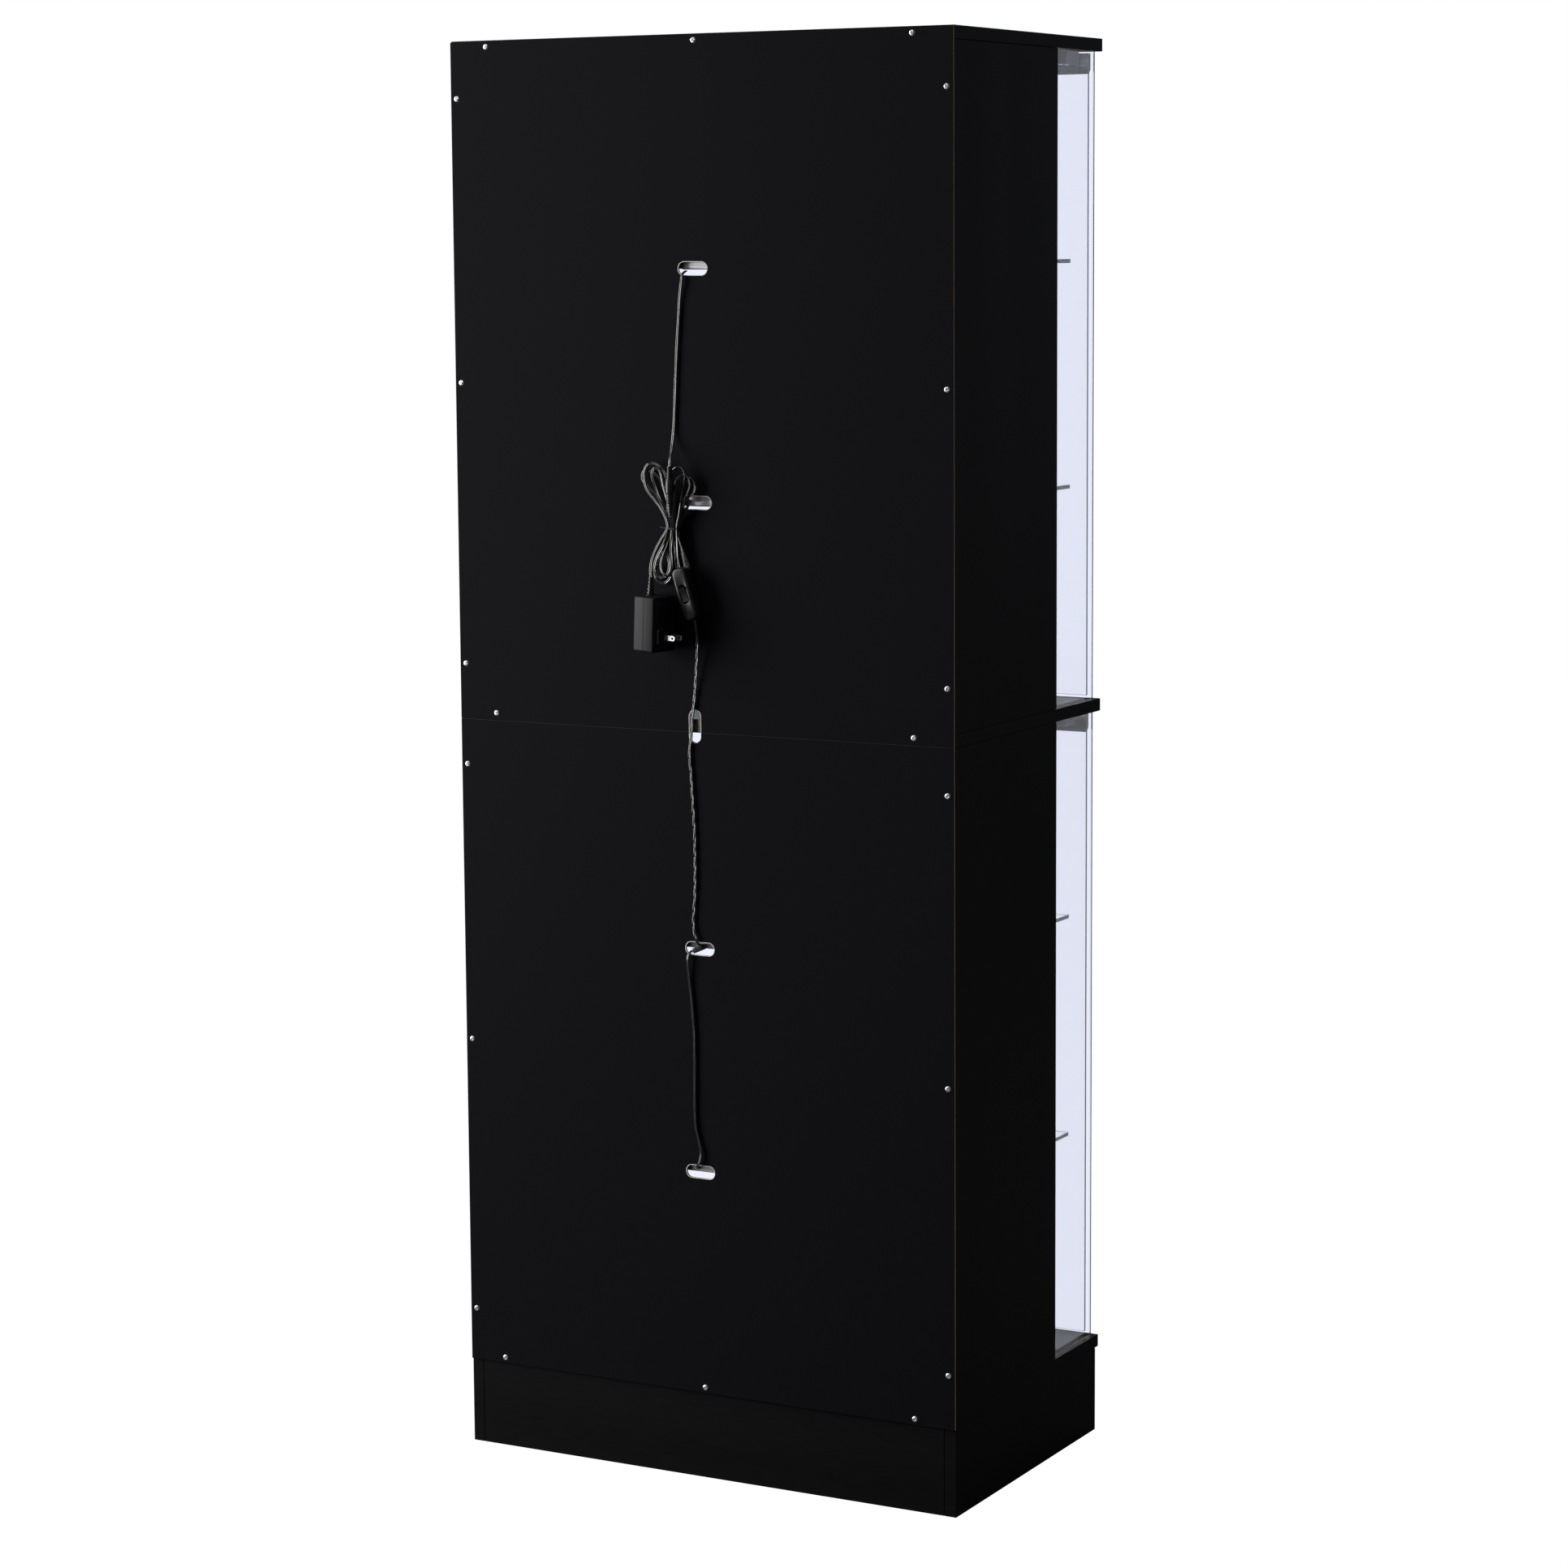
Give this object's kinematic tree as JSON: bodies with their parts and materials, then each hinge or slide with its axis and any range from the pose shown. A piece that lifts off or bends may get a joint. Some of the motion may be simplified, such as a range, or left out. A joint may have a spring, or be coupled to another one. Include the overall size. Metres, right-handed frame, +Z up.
{
  "type": "china cabinet",
  "caption": "Tall free-standing display cabinet with black boards, glass doors, side panes and shelves, a slotted back, and shelf lights on switched leads.",
  "frame": {"origin": "on the floor under the middle of the cabinet", "axes": "+Z up, front faces -Y, back faces +Y, +X is the right-hand side seen from the front"},
  "size_m": [0.7, 0.4739, 1.8],
  "materials": {
    "black_board": "satin black laminate over particle board",
    "back_board": "charcoal-printed hardboard with a fine grain",
    "clear_glass": "clear float glass with polished green edges",
    "chrome": "polished chrome plate",
    "black_plastic": "fine satin moulded plastic",
    "white_plastic": "glossy moulded nylon",
    "grey_plastic": "satin moulded plastic",
    "aluminium": "satin anodised",
    "nickel": "bright nickel-plated brass",
    "lead_sheath": "flexible glossy insulation"
  },
  "bodies": {
    "cabinet": {"adapter_lead": "lead_sheath", "adapter_lead_hank": "lead_sheath", "adapter_strain_relief": "black_plastic", "base_board": "black_board", "bundle_tie": "black_plastic", "glass_shelf_1": "clear_glass", "glass_shelf_2": "clear_glass", "glass_shelf_3": "clear_glass", "glass_shelf_4": "clear_glass", "light_lead_hank": "lead_sheath", "low_voltage_plug": "black_plastic", "low_voltage_socket": "black_plastic", "lower_back_panel": "back_board", "lower_bottom_pivot_bush": "grey_plastic", "lower_latch_body": "black_plastic", "lower_side_glass_left": "clear_glass", "lower_side_glass_right": "clear_glass", "lower_side_panel_left": "black_board", "lower_side_panel_right": "black_board", "lower_top_pivot_bush": "grey_plastic", "middle_board": "black_board", "plinth_back": "black_board", "plinth_front": "black_board", "plinth_side_left": "black_board", "plinth_side_right": "black_board", "plug_blade_front": "nickel", "plug_blade_rear": "nickel", "power_adapter": "black_plastic", "shelf_light_1": "aluminium", "shelf_light_2": "aluminium", "shelf_light_3": "aluminium", "shelf_light_4": "aluminium", "slot_1_lead": "lead_sheath", "slot_2_connector": "white_plastic", "slot_2_lead": "lead_sheath", "slot_3_connector": "black_plastic", "slot_4_connector": "black_plastic", "slot_4_to_slot_5_lead": "lead_sheath", "switch_body": "black_plastic", "switch_to_slot_4_lead": "lead_sheath", "top_board": "black_board", "upper_back_panel": "back_board", "upper_bottom_pivot_bush": "grey_plastic", "upper_latch_body": "black_plastic", "upper_side_glass_left": "clear_glass", "upper_side_glass_right": "clear_glass", "upper_side_panel_left": "black_board", "upper_side_panel_right": "black_board", "upper_top_pivot_bush": "grey_plastic"},
    "upper_door": {"upper_door_glass": "clear_glass", "upper_door_top_hinge": "chrome", "upper_door_bottom_hinge": "chrome", "upper_door_strike_clip": "chrome"},
    "lower_door": {"lower_door_glass": "clear_glass", "lower_door_top_hinge": "chrome", "lower_door_bottom_hinge": "chrome", "lower_door_strike_clip": "chrome"},
    "upper_latch_plunger": {"upper_latch_plunger": "grey_plastic"},
    "lower_latch_plunger": {"lower_latch_plunger": "grey_plastic"},
    "switch_rocker": {"switch_rocker": "black_plastic"}
  },
  "joints": [
    {"name": "upper_door_swing", "type": "hinge", "parent": "cabinet", "child": "upper_door", "pos_m": [0.3165, -0.206, 1.3745], "axis": [0, 0, 1], "range_deg": [0, 110]},
    {"name": "lower_door_swing", "type": "hinge", "parent": "cabinet", "child": "lower_door", "pos_m": [0.3165, -0.206, 0.5375], "axis": [0, 0, 1], "range_deg": [0, 110]},
    {"name": "upper_latch_push", "type": "slide", "parent": "cabinet", "child": "upper_latch_plunger", "axis": [0, 1, 0], "range_m": [0, 0.003], "stiffness_N_per_m": 200, "springref_m": -0.003},
    {"name": "lower_latch_push", "type": "slide", "parent": "cabinet", "child": "lower_latch_plunger", "axis": [0, 1, 0], "range_m": [0, 0.003], "stiffness_N_per_m": 200, "springref_m": -0.003},
    {"name": "switch_rock", "type": "hinge", "parent": "cabinet", "child": "switch_rocker", "pos_m": [0.0078, 0.2323, 1.122], "axis": [0.9563, 0, -0.2924], "range_deg": [0, 18]}
  ]
}
